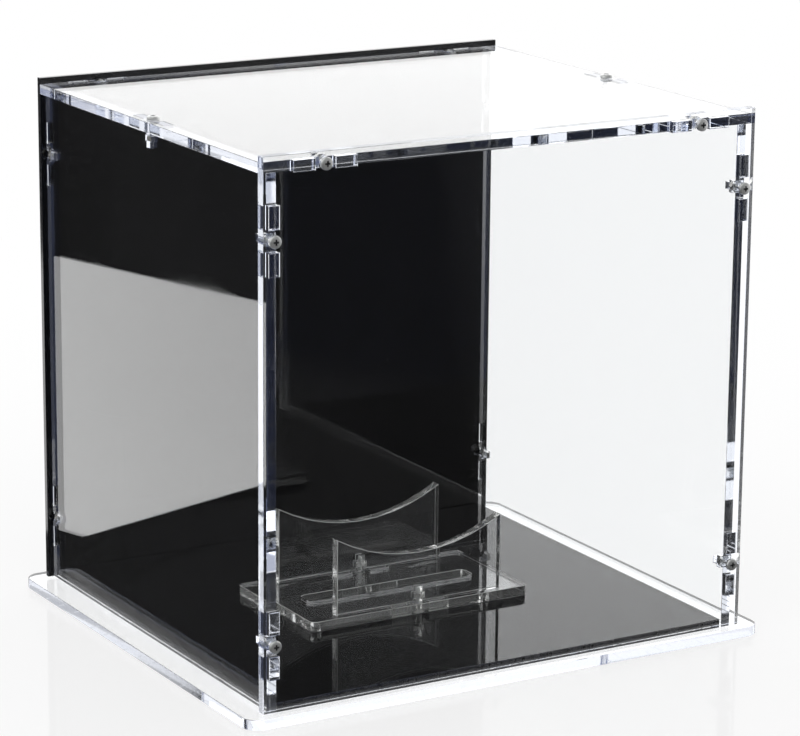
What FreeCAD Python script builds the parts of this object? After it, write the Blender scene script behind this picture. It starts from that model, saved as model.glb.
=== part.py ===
import FreeCAD, Part
import os
import Sketcher

# Display case for one round thing on show: a clear base plate with a black panel on it, a hood of
# clear panels with a black back, and a loose stand with two cradles. All sheets are laser cut.
# Each corner joint has two tabs, with a screw between them and a nut caught in a T-slot.
# The frame's origin is the middle of the base plate's underside, X to the right, Y to the back, Z up.

# Driving sizes in millimetres: name, value, what it measures
SIZES = [
    ("case_width", 262, "front and back panels from side to side"),
    ("case_depth", 233, "outer face of the front panel to outer face of the back panel"),
    ("hood_height", 255, "height of the front and back panels"),
    ("clear_sheet", 5, "thickness of the clear sheets"),
    ("black_sheet", 3, "thickness of the black sheets"),
    ("rim_lip", 3, "front and back panels stand out this far round the side and top panels"),
    ("base_margin_side", 10, "base plate beyond the hood at the left and right"),
    ("base_margin_front", 6, "base plate beyond the hood at the front and back"),
    ("base_corner_radius", 8, "corners of the base plate"),
    ("base_panel_gap", 0.5, "gap between the base panel and the hood all round"),
    ("stand_length", 122.5, "stand plate from side to side"),
    ("stand_depth", 69, "stand plate from front to back"),
    ("stand_corner_radius", 3.5, "corners of the stand plate"),
    ("stand_slot_length", 93, "long slot in the stand plate"),
    ("stand_slot_width", 10.7, "long slot in the stand plate"),
    ("stand_slot_radius", 3.5, "corners of the long slot"),
    ("cradle_length", 92, "cradle from side to side"),
    ("cradle_inset", 2.5, "outer face of a cradle behind the edge of the stand plate"),
    ("saddle_height", 25.8, "lowest point of the cradle's hollow above the stand plate"),
    ("saddle_radius", 90, "hollow round top edge of the cradle"),
    ("tab_length", 10.5, "tab along the edge of its panel"),
    ("tab_offset", 10.5, "middle of a tab from the screw between the two tabs"),
    ("tab_gap", 0.1, "gap round a tab in its hole"),
    ("low_joint_height", 31.5, "lower side joints above the underside of the hood"),
    ("high_joint_drop", 30, "upper side joints below the top edge of the side panels"),
    ("top_joint_inset", 31, "top joints from the ends of the front and back panels"),
    ("screw_diameter", 3, "shank of every screw"),
    ("screw_reach", 7, "how far a screw reaches into the edge of a panel"),
    ("screw_gap", 0.1, "gap round a screw in its hole and T-slot"),
    ("pan_head_diameter", 6, "pan head"),
    ("pan_head_height", 2.4, "pan head"),
    ("sunk_head_diameter", 5.8, "countersunk head"),
    ("nut_width", 5.5, "nut across its flats"),
    ("nut_height", 2.4, "nut along its thread"),
    ("nut_bore_gap", 0.05, "gap between the screw and the nut"),
    ("nut_setback", 2.3, "near face of the nut behind the edge of its panel"),
    ("nut_gap", 0.1, "gap round a nut in its T-slot"),
    ("t_slot_run_out", 1, "T-slot beyond the end of the screw"),
]
EDGE_TOLERANCE = 1e-6

doc = FreeCAD.newDocument("DisplayCase")
sheet = doc.addObject("Spreadsheet::Sheet", "sizes")
for row, (alias, size, note) in enumerate(SIZES, start=1):
    sheet.set(f"A{row}", note)
    sheet.set(f"B{row}", str(size))
    sheet.setAlias(f"B{row}", alias)
doc.recompute()

# Places that several pieces share, as expressions over the sheet
FRONT_FACE = "(-sizes.case_depth / 2)"
BACK_FACE = "(sizes.case_depth / 2)"
FRONT_INSIDE = f"({FRONT_FACE} + sizes.clear_sheet)"
BACK_INSIDE = f"({BACK_FACE} - sizes.black_sheet)"
INSIDE_MIDDLE = f"(({FRONT_INSIDE} + {BACK_INSIDE}) / 2)"
HALF_WIDTH = "(sizes.case_width / 2)"
SIDE_OUTSIDE = f"({HALF_WIDTH} - sizes.rim_lip)"
SIDE_MIDDLE = f"({SIDE_OUTSIDE} - sizes.clear_sheet / 2)"
SIDE_INSIDE = f"({SIDE_OUTSIDE} - sizes.clear_sheet)"
SIDE_RISE = "(sizes.hood_height - sizes.rim_lip - sizes.clear_sheet)"
HOOD_FLOOR = "sizes.clear_sheet"
TOP_UNDERSIDE = f"({HOOD_FLOOR} + {SIDE_RISE})"
TOP_MIDDLE = f"({TOP_UNDERSIDE} + sizes.clear_sheet / 2)"
TOP_FACE = f"({TOP_UNDERSIDE} + sizes.clear_sheet)"
LOW_JOINT = "sizes.low_joint_height"
HIGH_JOINT = f"({SIDE_RISE} - sizes.high_joint_drop)"
TOP_JOINT = f"({HALF_WIDTH} - sizes.top_joint_inset)"
STAND_FLOOR = "(sizes.clear_sheet + sizes.black_sheet)"
CRADLE_FLOOR = f"({STAND_FLOOR} + sizes.clear_sheet)"
CRADLE_MIDDLE = "(sizes.stand_depth / 2 - sizes.cradle_inset - sizes.clear_sheet / 2)"
SCREW_HOLE = "(sizes.screw_diameter + 2 * sizes.screw_gap)"

pieces = []


def value(expression):
    """Present value of an expression over the sheet, in millimetres."""
    return float(sheet.evalExpression(expression))


# Sketches and features

def new_body(name):
    """A sub-part, or a fastener that is linked into several sub-parts."""
    body = doc.addObject("PartDesign::Body", name)
    body.Label = name
    return body


def place(item, across, deep, up):
    """Tie the place of a piece to expressions over the sheet."""
    for axis, expression in zip("xyz", (across, deep, up)):
        item.setExpression(f"Placement.Base.{axis}", expression)


def new_sketch(body, name, role):
    """A sketch on one of the body's own origin planes."""
    sketch = body.newObject("Sketcher::SketchObject", name)
    plane = next(item for item in body.Origin.OriginFeatures if item.Role == role)
    sketch.AttachmentSupport = (plane, [""])
    sketch.MapMode = "FlatFace"
    return sketch


def pin_point(sketch, geometry, end, point):
    """Hold one point of a sketch at two expressions, measured from the sketch's origin."""
    for kind, expression in zip(("DistanceX", "DistanceY"), point):
        rule = Sketcher.Constraint(kind, -1, 1, geometry, end, value(expression))
        index = sketch.addConstraint(rule)
        sketch.setExpression(f"Constraints[{index}]", expression)


def add_outline(sketch, corners):
    """A closed outline of straight lines through corners given as pairs of expressions."""
    points = [FreeCAD.Vector(value(across), value(up), 0) for across, up in corners]
    first = sketch.GeometryCount
    for start, end in zip(points, points[1:] + points[:1]):
        sketch.addGeometry(Part.LineSegment(start, end))
    for index, corner in enumerate(corners):
        before = first + (index - 1) % len(corners)
        sketch.addConstraint(Sketcher.Constraint("Coincident", before, 2, first + index, 1))
        pin_point(sketch, first + index, 1, corner)


def add_rectangle(sketch, left, right, low, high):
    """A rectangle between four expressions."""
    add_outline(sketch, [(left, low), (right, low), (right, high), (left, high)])


def add_circle(sketch, centre, diameter):
    """A circle with its centre at a pair of expressions."""
    middle = FreeCAD.Vector(value(centre[0]), value(centre[1]), 0)
    circle = Part.Circle(middle, FreeCAD.Vector(0, 0, 1), value(diameter) / 2)
    geometry = sketch.addGeometry(circle)
    pin_point(sketch, geometry, 3, centre)
    index = sketch.addConstraint(Sketcher.Constraint("Diameter", geometry, value(diameter)))
    sketch.setExpression(f"Constraints[{index}]", diameter)


def pad_sheet(body, sketch, thickness):
    """Sheet thickness, half to each side of the sketch."""
    pad = body.newObject("PartDesign::Pad", f"{sketch.Name}_pad")
    pad.Profile = sketch
    pad.SideType = "Symmetric"
    pad.setExpression("Length", thickness)
    return pad


def cut_through(body, sketch):
    """Cut the sketch right through the sheet."""
    pocket = body.newObject("PartDesign::Pocket", f"{sketch.Name}_cut")
    pocket.Profile = sketch
    pocket.Type = "ThroughAll"
    pocket.SideType = "Symmetric"
    return pocket


def round_corners(body, feature, half_length, half_width, radius):
    """Round the edges that stand at the corners of a centred rectangle."""
    # The edges are found on the finished shape
    doc.recompute()
    across = value(half_length)
    deep = value(half_width)
    edges = []
    for number, edge in enumerate(feature.Shape.Edges, start=1):
        middle = edge.CenterOfMass
        off_corner = max(abs(abs(middle.x) - across), abs(abs(middle.y) - deep))
        if off_corner < EDGE_TOLERANCE:
            edges.append(f"Edge{number}")
    fillet = body.newObject("PartDesign::Fillet", f"{feature.Name}_corners")
    fillet.Base = (feature, edges)
    fillet.setExpression("Radius", radius)


# Tab-and-slot joints
# An edge is the sketch axis that points out of it, its place on that axis and the outward sign.

def edge_point(edge, along, outwards):
    """A sketch point at a place along an edge and a distance out of it."""
    axis, position, sign = edge
    beyond = f"({position} {sign} ({outwards}))"
    return (beyond, along) if axis == "x" else (along, beyond)


def tab_ends(middle):
    """Both tabs of a joint as pairs of expressions, low end and high end."""
    ends = []
    for side in "-+":
        centre = f"{middle} {side} sizes.tab_offset"
        ends.append((f"({centre} - sizes.tab_length / 2)", f"({centre} + sizes.tab_length / 2)"))
    return ends


def add_tabs(sketch, edge, middle, reach):
    """Two tabs on an edge, as long as the sheet that they pass through is thick."""
    for low, high in tab_ends(middle):
        sides = [(low, "0"), (low, reach), (high, reach), (high, "0")]
        add_outline(sketch, [edge_point(edge, along, outwards) for along, outwards in sides])


def add_t_slot(sketch, edge, middle):
    """The slot for the screw, with the wider slot for the nut across it."""
    half_shank = f"{SCREW_HOLE} / 2"
    half_nut = "(sizes.nut_width / 2 + sizes.nut_gap)"
    near = "-sizes.nut_setback"
    far = "-(sizes.nut_setback + sizes.nut_height + 2 * sizes.nut_gap)"
    end = "-(sizes.screw_reach + sizes.t_slot_run_out)"
    profile = [(half_shank, "0"), (half_shank, near), (half_nut, near),
               (half_nut, far), (half_shank, far), (half_shank, end)]
    low_side = [edge_point(edge, f"({middle} - {half})", outwards) for half, outwards in profile]
    high_side = [edge_point(edge, f"({middle} + {half})", outwards) for half, outwards in profile]
    add_outline(sketch, low_side + high_side[::-1])


def add_joint_holes(sketch, axis, position, middle, thickness):
    """Two holes for tabs and one for the screw, where the edge of another sheet meets this one."""
    half = f"({thickness} / 2 + sizes.tab_gap)"
    edge = (axis, position, "+")
    for low, high in tab_ends(middle):
        near = f"({low} - sizes.tab_gap)"
        far = f"({high} + sizes.tab_gap)"
        sides = [(near, f"-{half}"), (near, half), (far, half), (far, f"-{half}")]
        add_outline(sketch, [edge_point(edge, along, outwards) for along, outwards in sides])
    add_circle(sketch, edge_point(edge, middle, "0"), SCREW_HOLE)


# Base: the clear plate, and the black panel that fills the hood's footprint

def make_base_plate():
    half_length = f"({HALF_WIDTH} + sizes.base_margin_side)"
    half_depth = f"({BACK_FACE} + sizes.base_margin_front)"
    body = new_body("base_plate")
    outline = new_sketch(body, "base_outline", "XY_Plane")
    add_rectangle(outline, f"-{half_length}", half_length, f"-{half_depth}", half_depth)
    plate = pad_sheet(body, outline, "sizes.clear_sheet")
    round_corners(body, plate, half_length, half_depth, "sizes.base_corner_radius")
    place(body, "0", "0", "sizes.clear_sheet / 2")
    pieces.append(body)


def make_base_panel():
    half_length = f"({SIDE_INSIDE} - sizes.base_panel_gap)"
    front = f"({FRONT_INSIDE} + sizes.base_panel_gap)"
    back = f"({BACK_INSIDE} - sizes.base_panel_gap)"
    body = new_body("base_panel")
    outline = new_sketch(body, "base_panel_outline", "XY_Plane")
    add_rectangle(outline, f"-{half_length}", half_length, front, back)
    pad_sheet(body, outline, "sizes.black_sheet")
    place(body, "0", "0", "sizes.clear_sheet + sizes.black_sheet / 2")
    pieces.append(body)


# Hood: front and back panels take the tabs, side panels carry them, the top panel does both

def make_upright_panel(name, middle, thickness):
    """The front or the back panel, which cover the edges of all the others."""
    body = new_body(name)
    outline = new_sketch(body, f"{name}_outline", "XZ_Plane")
    add_rectangle(outline, f"-{HALF_WIDTH}", HALF_WIDTH, "0", "sizes.hood_height")
    pad_sheet(body, outline, thickness)
    holes = new_sketch(body, f"{name}_holes", "XZ_Plane")
    for side in "-+":
        for joint in (LOW_JOINT, HIGH_JOINT):
            add_joint_holes(holes, "x", f"(0 {side} {SIDE_MIDDLE})", joint, "sizes.clear_sheet")
        top_edge = f"({TOP_MIDDLE} - {HOOD_FLOOR})"
        add_joint_holes(holes, "y", top_edge, f"(0 {side} {TOP_JOINT})", "sizes.clear_sheet")
    cut_through(body, holes)
    place(body, "0", middle, HOOD_FLOOR)
    pieces.append(body)


def make_side_panel(name, side):
    """The left or the right panel, with tabs on three edges."""
    front = ("x", FRONT_INSIDE, "-")
    back = ("x", BACK_INSIDE, "+")
    top = ("y", SIDE_RISE, "+")
    body = new_body(name)
    outline = new_sketch(body, f"{name}_outline", "YZ_Plane")
    add_rectangle(outline, FRONT_INSIDE, BACK_INSIDE, "0", SIDE_RISE)
    pad_sheet(body, outline, "sizes.clear_sheet")
    tabs = new_sketch(body, f"{name}_tabs", "YZ_Plane")
    slots = new_sketch(body, f"{name}_t_slots", "YZ_Plane")
    for joint in (LOW_JOINT, HIGH_JOINT):
        add_tabs(tabs, front, joint, "sizes.clear_sheet")
        add_tabs(tabs, back, joint, "sizes.black_sheet")
        add_t_slot(slots, front, joint)
        add_t_slot(slots, back, joint)
    add_tabs(tabs, top, INSIDE_MIDDLE, "sizes.clear_sheet")
    add_t_slot(slots, top, INSIDE_MIDDLE)
    pad_sheet(body, tabs, "sizes.clear_sheet")
    cut_through(body, slots)
    place(body, f"0 {side} {SIDE_MIDDLE}", "0", HOOD_FLOOR)
    pieces.append(body)


def make_top_panel():
    front = ("y", FRONT_INSIDE, "-")
    back = ("y", BACK_INSIDE, "+")
    body = new_body("top_panel")
    outline = new_sketch(body, "top_outline", "XY_Plane")
    add_rectangle(outline, f"-{HALF_WIDTH}", HALF_WIDTH, FRONT_INSIDE, BACK_INSIDE)
    pad_sheet(body, outline, "sizes.clear_sheet")
    tabs = new_sketch(body, "top_tabs", "XY_Plane")
    slots = new_sketch(body, "top_t_slots", "XY_Plane")
    holes = new_sketch(body, "top_holes", "XY_Plane")
    for side in "-+":
        joint = f"(0 {side} {TOP_JOINT})"
        add_tabs(tabs, front, joint, "sizes.clear_sheet")
        add_tabs(tabs, back, joint, "sizes.black_sheet")
        add_t_slot(slots, front, joint)
        add_t_slot(slots, back, joint)
        side_edge = f"(0 {side} {SIDE_MIDDLE})"
        add_joint_holes(holes, "x", side_edge, INSIDE_MIDDLE, "sizes.clear_sheet")
    pad_sheet(body, tabs, "sizes.clear_sheet")
    cut_through(body, slots)
    cut_through(body, holes)
    place(body, "0", "0", TOP_MIDDLE)
    pieces.append(body)


# Stand: a slotted plate with two upright cradles, screwed from below

def make_stand_plate():
    half_length = "(sizes.stand_length / 2)"
    half_depth = "(sizes.stand_depth / 2)"
    half_slot_length = "(sizes.stand_slot_length / 2)"
    half_slot_width = "(sizes.stand_slot_width / 2)"
    body = new_body("stand_plate")
    outline = new_sketch(body, "stand_outline", "XY_Plane")
    add_rectangle(outline, f"-{half_length}", half_length, f"-{half_depth}", half_depth)
    plate = pad_sheet(body, outline, "sizes.clear_sheet")
    round_corners(body, plate, half_length, half_depth, "sizes.stand_corner_radius")
    slot = new_sketch(body, "stand_slot", "XY_Plane")
    add_rectangle(slot, f"-{half_slot_length}", half_slot_length, f"-{half_slot_width}", half_slot_width)
    slot_cut = cut_through(body, slot)
    round_corners(body, slot_cut, half_slot_length, half_slot_width, "sizes.stand_slot_radius")
    holes = new_sketch(body, "stand_holes", "XY_Plane")
    for side in "-+":
        add_joint_holes(holes, "y", f"(0 {side} {CRADLE_MIDDLE})", "0", "sizes.clear_sheet")
    cut_through(body, holes)
    for side in "-+":
        make_countersink(body, side)
    place(body, "0", INSIDE_MIDDLE, f"{STAND_FLOOR} + sizes.clear_sheet / 2")
    pieces.append(body)


def make_countersink(body, side):
    """Seat for a flush screw head on the underside of the stand plate."""
    mouth = "(sizes.sunk_head_diameter / 2 + sizes.screw_gap)"
    neck = f"({SCREW_HOLE} / 2)"
    underside = "(-sizes.clear_sheet / 2)"
    neck_height = f"({underside} + {mouth} - {neck})"
    name = "front" if side == "-" else "rear"
    profile = new_sketch(body, f"{name}_countersink", "XZ_Plane")
    profile.setExpression("AttachmentOffset.Base.z", f"-(0 {side} {CRADLE_MIDDLE})")
    add_outline(profile, [("0", underside), (mouth, underside), (neck, neck_height), ("0", neck_height)])
    groove = body.newObject("PartDesign::Groove", f"{name}_countersink_cut")
    groove.Profile = profile
    groove.ReferenceAxis = (profile, ["V_Axis"])


def make_cradle(name, side):
    """An upright whose top edge is a hollow arc, cut from a blank that reaches up to its centre."""
    half_length = "(sizes.cradle_length / 2)"
    arc_centre = "(sizes.saddle_height + sizes.saddle_radius)"
    body = new_body(name)
    outline = new_sketch(body, f"{name}_outline", "XZ_Plane")
    add_rectangle(outline, f"-{half_length}", half_length, "0", arc_centre)
    pad_sheet(body, outline, "sizes.clear_sheet")
    saddle = new_sketch(body, f"{name}_saddle", "XZ_Plane")
    add_circle(saddle, ("0", arc_centre), "2 * sizes.saddle_radius")
    cut_through(body, saddle)
    underside = ("y", "0", "-")
    tabs = new_sketch(body, f"{name}_tabs", "XZ_Plane")
    add_tabs(tabs, underside, "0", "sizes.clear_sheet")
    pad_sheet(body, tabs, "sizes.clear_sheet")
    slot = new_sketch(body, f"{name}_t_slot", "XZ_Plane")
    add_t_slot(slot, underside, "0")
    cut_through(body, slot)
    place(body, "0", f"{INSIDE_MIDDLE} {side} {CRADLE_MIDDLE}", CRADLE_FLOOR)
    pieces.append(body)


# Fasteners: each is modelled once, at the frame's origin with its shank along +Z, then linked

def revolve_profile(name, corners):
    """A round body from half of its section, as pairs of radius and height."""
    body = new_body(name)
    profile = new_sketch(body, f"{name}_section", "XZ_Plane")
    add_outline(profile, corners)
    turn = body.newObject("PartDesign::Revolution", f"{name}_turn")
    turn.Profile = profile
    turn.ReferenceAxis = (profile, ["V_Axis"])
    return body


def make_pan_screw(name, thickness):
    """Pan-head screw that passes through one sheet and reaches into the edge of the next."""
    shank = "(sizes.screw_diameter / 2)"
    head = "(sizes.pan_head_diameter / 2)"
    end = f"({thickness} + sizes.screw_reach)"
    corners = [("0", "-sizes.pan_head_height"), (head, "-sizes.pan_head_height"), (head, "0"),
               (shank, "0"), (shank, end), ("0", end)]
    return revolve_profile(name, corners)


def make_sunk_screw(name):
    """Countersunk screw whose head ends flush with the face that it enters."""
    shank = "(sizes.screw_diameter / 2)"
    head = "(sizes.sunk_head_diameter / 2)"
    end = "(sizes.clear_sheet + sizes.screw_reach)"
    corners = [("0", "0"), (head, "0"), (shank, f"{head} - {shank}"), (shank, end), ("0", end)]
    return revolve_profile(name, corners)


def make_nut(name):
    """Hexagon nut with its flats to the left and right."""
    flat = "(sizes.nut_width / 2)"
    short = f"({flat} * tan(30 deg))"
    point = f"({flat} / cos(30 deg))"
    body = new_body(name)
    outline = new_sketch(body, "nut_outline", "XY_Plane")
    add_outline(outline, [(flat, f"-{short}"), (flat, short), ("0", point),
                          (f"-{flat}", short), (f"-{flat}", f"-{short}"), ("0", f"-{point}")])
    blank = body.newObject("PartDesign::Pad", "nut_blank")
    blank.Profile = outline
    blank.setExpression("Length", "sizes.nut_height")
    bore = new_sketch(body, "nut_bore", "XY_Plane")
    add_circle(bore, ("0", "0"), "(sizes.screw_diameter + 2 * sizes.nut_bore_gap)")
    cut_through(body, bore)
    return body


RIGHTWARDS = FreeCAD.Vector(1, 0, 0)
BACKWARDS = FreeCAD.Vector(0, 1, 0)
FORWARDS = FreeCAD.Vector(0, -1, 0)
UPWARDS = FreeCAD.Vector(0, 0, 1)
DOWNWARDS = FreeCAD.Vector(0, 0, -1)


def link_fastener(name, fastener, direction, flats, position):
    """One linked fastener, pointing in a direction, with a nut's flats facing along another."""
    link = doc.addObject("App::Link", name)
    link.LinkedObject = fastener
    link.Placement.Rotation = FreeCAD.Rotation(flats, FreeCAD.Vector(), direction, "ZXY")
    place(link, *position)
    return link


def make_fasteners(name, fastener, direction, flats, positions):
    """A sub-part of several fasteners alike, as separate solids."""
    group = doc.addObject("Part::Compound", name)
    group.Label = name
    links = []
    for number, position in enumerate(positions, start=1):
        links.append(link_fastener(f"{name}_{number}", fastener, direction, flats, position))
    group.Links = links
    pieces.append(group)


def fasten(name, screw, direction, flats, seats, thickness):
    """Screws at their seats on a sheet, and their nuts in the T-slots of the sheet behind it."""
    depth = f"({thickness} + sizes.nut_setback)"
    nut_seats = []
    for seat in seats:
        nut_seats.append([f"{spot} + ({int(step)}) * {depth}" for spot, step in zip(seat, direction)])
    make_fasteners(f"{name}_screws", screw, direction, flats, seats)
    make_fasteners(f"{name}_nuts", nut, direction, flats, nut_seats)


# The whole case

make_base_plate()
make_base_panel()
make_upright_panel("front_panel", f"{FRONT_FACE} + sizes.clear_sheet / 2", "sizes.clear_sheet")
make_upright_panel("back_panel", f"{BACK_FACE} - sizes.black_sheet / 2", "sizes.black_sheet")
make_side_panel("left_panel", "-")
make_side_panel("right_panel", "+")
make_top_panel()
make_stand_plate()
make_cradle("front_cradle", "-")
make_cradle("rear_cradle", "+")

nut = make_nut("hexagon_nut")
clear_screw = make_pan_screw("clear_sheet_screw", "sizes.clear_sheet")
black_screw = make_pan_screw("black_sheet_screw", "sizes.black_sheet")
sunk_screw = make_sunk_screw("sunk_screw")

for word, side in (("left", "-"), ("right", "+")):
    side_line = f"(0 {side} {SIDE_MIDDLE})"
    heights = [f"{HOOD_FLOOR} + {joint}" for joint in (LOW_JOINT, HIGH_JOINT)]
    front_seats = [(side_line, FRONT_FACE, height) for height in heights]
    back_seats = [(side_line, BACK_FACE, height) for height in heights]
    fasten(f"front_{word}", clear_screw, BACKWARDS, UPWARDS, front_seats, "sizes.clear_sheet")
    fasten(f"back_{word}", black_screw, FORWARDS, UPWARDS, back_seats, "sizes.black_sheet")

top_places = [f"(0 {side} {TOP_JOINT})" for side in "-+"]
front_top_seats = [(across, FRONT_FACE, TOP_MIDDLE) for across in top_places]
back_top_seats = [(across, BACK_FACE, TOP_MIDDLE) for across in top_places]
side_top_seats = [(f"(0 {side} {SIDE_MIDDLE})", INSIDE_MIDDLE, TOP_FACE) for side in "-+"]
cradle_seats = [("0", f"{INSIDE_MIDDLE} {side} {CRADLE_MIDDLE}", STAND_FLOOR) for side in "-+"]
fasten("front_top", clear_screw, BACKWARDS, RIGHTWARDS, front_top_seats, "sizes.clear_sheet")
fasten("back_top", black_screw, FORWARDS, RIGHTWARDS, back_top_seats, "sizes.black_sheet")
fasten("side_top", clear_screw, DOWNWARDS, BACKWARDS, side_top_seats, "sizes.clear_sheet")
fasten("cradle", sunk_screw, UPWARDS, RIGHTWARDS, cradle_seats, "sizes.clear_sheet")

doc.recompute()


# Check the document, then write one file for each sub-part

for item in doc.Objects:
    if "Invalid" in item.State or "Error" in item.State:
        raise RuntimeError(f"{item.Label} could not be built")
for piece in pieces:
    if piece.Shape.isNull() or not piece.Shape.isValid():
        raise RuntimeError(f"{piece.Label} has no valid shape")

os.makedirs("parts", exist_ok=True)
for piece in pieces:
    piece.Shape.exportStep(os.path.join("parts", f"{piece.Label}.step"))
    print(f"{piece.Label}: {len(piece.Shape.Solids)} solid, {piece.Shape.Volume:.1f} cubic mm")
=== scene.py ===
import math
import bmesh
import bpy
from mathutils import Matrix, Vector


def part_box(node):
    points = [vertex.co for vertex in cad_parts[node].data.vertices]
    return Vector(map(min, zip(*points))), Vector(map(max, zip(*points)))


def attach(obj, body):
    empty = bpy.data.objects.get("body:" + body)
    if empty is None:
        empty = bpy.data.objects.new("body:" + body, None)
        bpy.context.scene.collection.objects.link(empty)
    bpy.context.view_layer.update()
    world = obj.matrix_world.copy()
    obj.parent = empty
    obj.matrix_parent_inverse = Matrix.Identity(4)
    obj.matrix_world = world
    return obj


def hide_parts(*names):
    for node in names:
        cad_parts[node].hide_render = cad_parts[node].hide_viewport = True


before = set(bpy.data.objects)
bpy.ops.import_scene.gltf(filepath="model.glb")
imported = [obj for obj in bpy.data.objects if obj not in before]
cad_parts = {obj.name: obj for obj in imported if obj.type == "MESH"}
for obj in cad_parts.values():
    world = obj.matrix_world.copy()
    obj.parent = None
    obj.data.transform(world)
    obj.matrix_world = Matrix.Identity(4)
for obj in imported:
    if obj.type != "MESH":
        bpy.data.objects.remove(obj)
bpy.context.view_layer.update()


# Base plate
# A clear cast acrylic sheet, 5 mm thick, that everything else stands on. It is cut out by laser,
# which leaves glassy edges with faint lines across them, and its corners are cut round.
# Nothing fixes the hood to it: the hood just stands on it and lifts off.
BASE_CORNER_RADIUS = 0.008
ARC_STEP = 6                  # degrees between the points of a round cut
MELTED_EDGE = 0.00015         # the laser melts every cut edge a little
AIR_FILM = 0.00003            # taken off each face, so that sheets that meet keep a film of air between
SHARP_CORNER = math.radians(25)
ACRYLIC_BEND = 1.49           # refractive index of cast acrylic
CLEAR_TINT = (0.988, 0.994, 0.998, 1)
CUT_TINT = (0.9, 0.93, 1.0, 1)


def arc(centre, radius, start, end):
    """Points on an arc, from one angle to another in degrees."""
    steps = max(2, round(abs(end - start) / ARC_STEP))
    turns = [math.radians(start + (end - start) * step / steps) for step in range(steps + 1)]
    return [centre + Vector((math.cos(turn), math.sin(turn))) * radius for turn in turns]


def rounded_rectangle(low, high, radius):
    """Outline of a rectangle with round corners, anticlockwise."""
    outline = []
    for right, top, start in ((1, 0, -90), (1, 1, 0), (0, 1, 90), (0, 0, 180)):
        across = high[0] - radius if right else low[0] + radius
        along = high[1] - radius if top else low[1] + radius
        outline += arc(Vector((across, along)), radius, start, start + 90)
    return outline


def drawn_in(outline, distance):
    """An outline moved into the sheet, which lies to its left."""
    moved = []
    for before, corner, after in zip(outline[-1:] + outline, outline, outline[1:] + outline[:1]):
        arriving = (corner - before).normalized()
        leaving = (after - corner).normalized()
        left = Vector((-arriving.y - leaving.y, arriving.x + leaving.x))
        moved.append(corner + left * distance / (1 + arriving.dot(leaving)))
    return moved


def runs_clockwise(outline):
    """Whether the outline goes round clockwise."""
    return sum(one.cross(two) for one, two in zip(outline, outline[1:] + outline[:1])) < 0


def laser_cut(node, body, axis, outline, openings, finishes, countersinks=(), melted=MELTED_EDGE):
    """A sheet across an axis, with its openings, in the place of its CAD node.

    Openings listed in countersinks widen towards the low face of the sheet by the depth given.
    """
    low, high = (corner[axis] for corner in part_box(node))
    mesh = bmesh.new()
    cut_lines = mesh.loops.layers.uv.new("cut_lines")
    rims = ([], [])
    for number, loop in enumerate([outline] + openings):
        if runs_clockwise(loop) == (number == 0):
            loop = loop[::-1]
        widened = countersinks[number - len(openings) - 1] if number > len(openings) - len(countersinks) else 0
        lower_edge = max(widened, melted)
        levels = [(low + AIR_FILM, AIR_FILM + lower_edge), (low + AIR_FILM + lower_edge, AIR_FILM),
                  (high - AIR_FILM - melted, AIR_FILM), (high - AIR_FILM, AIR_FILM + melted)]
        rings = []
        for height, depth in levels:
            ring = []
            for point in drawn_in(loop, depth):
                place = [point.x, point.y]
                place.insert(axis, height)
                ring.append(mesh.verts.new(place))
            rings.append(ring)
        walked = [0.0]
        for one, two in zip(loop, loop[1:] + loop[:1]):
            walked.append(walked[-1] + (two - one).length)
        for level in range(len(levels) - 1):
            for step in range(len(loop)):
                after = (step + 1) % len(loop)
                wall = mesh.faces.new([rings[level][step], rings[level][after],
                                       rings[level + 1][after], rings[level + 1][step]])
                wall.material_index = 1 if level == 1 else len(finishes) - 1
                ends = [(walked[step], levels[level][0]), (walked[step + 1], levels[level][0]),
                        (walked[step + 1], levels[level + 1][0]), (walked[step], levels[level + 1][0])]
                for corner, spot in zip(wall.loops, ends):
                    corner[cut_lines].uv = spot
        for rim, ring in zip(rims, (rings[0], rings[-1])):
            rim += [mesh.edges.get((one, two)) for one, two in zip(ring, ring[1:] + ring[:1])]
    for rim in rims:
        bmesh.ops.triangle_fill(mesh, edges=rim, use_beauty=True)
    bmesh.ops.recalc_face_normals(mesh, faces=mesh.faces)
    sheet = add_piece(f"{node}_sheet", mesh, finishes, body, node)
    return sheet


def add_piece(name, mesh, finishes, body, node):
    """Turn a mesh into a piece that rides on its body and stands for its CAD node."""
    shape = bpy.data.meshes.new(name)
    mesh.to_mesh(shape)
    mesh.free()
    shape.shade_smooth()
    shape.set_sharp_from_angle(angle=SHARP_CORNER)
    for finish in finishes:
        shape.materials.append(finish)
    piece = bpy.data.objects.new(name, shape)
    bpy.context.scene.collection.objects.link(piece)
    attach(piece, body)
    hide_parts(node)
    return piece


def new_finish(name, **settings):
    """A material with one Principled shader, whose plain settings go straight onto its sockets."""
    finish = bpy.data.materials.new(name)
    finish.use_nodes = True
    shader = finish.node_tree.nodes["Principled BSDF"]
    for socket, setting in settings.items():
        shader.inputs[socket.replace("_", " ")].default_value = setting
    return finish, finish.node_tree, shader


def add_step(recipe, kind, feeds, **settings):
    """One node of a finish, fed with plain numbers or with the outputs of other nodes."""
    step = recipe.nodes.new(kind)
    for name, setting in settings.items():
        setattr(step, name, setting)
    for socket, feed in feeds.items():
        if isinstance(feed, bpy.types.NodeSocket):
            recipe.links.new(feed, step.inputs[socket])
        else:
            step.inputs[socket].default_value = feed
    return step


def add_ramp(recipe, feed, stops):
    """A colour ramp through pairs of place and grey level or colour."""
    ramp = add_step(recipe, "ShaderNodeValToRGB", {"Fac": feed})
    colours = ramp.color_ramp
    while len(colours.elements) < len(stops):
        colours.elements.new(1.0)
    for element, (place, tone) in zip(colours.elements, stops):
        element.position = place
        element.color = tone if isinstance(tone, tuple) else (tone, tone, tone, 1)
    return ramp.outputs["Color"]


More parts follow.
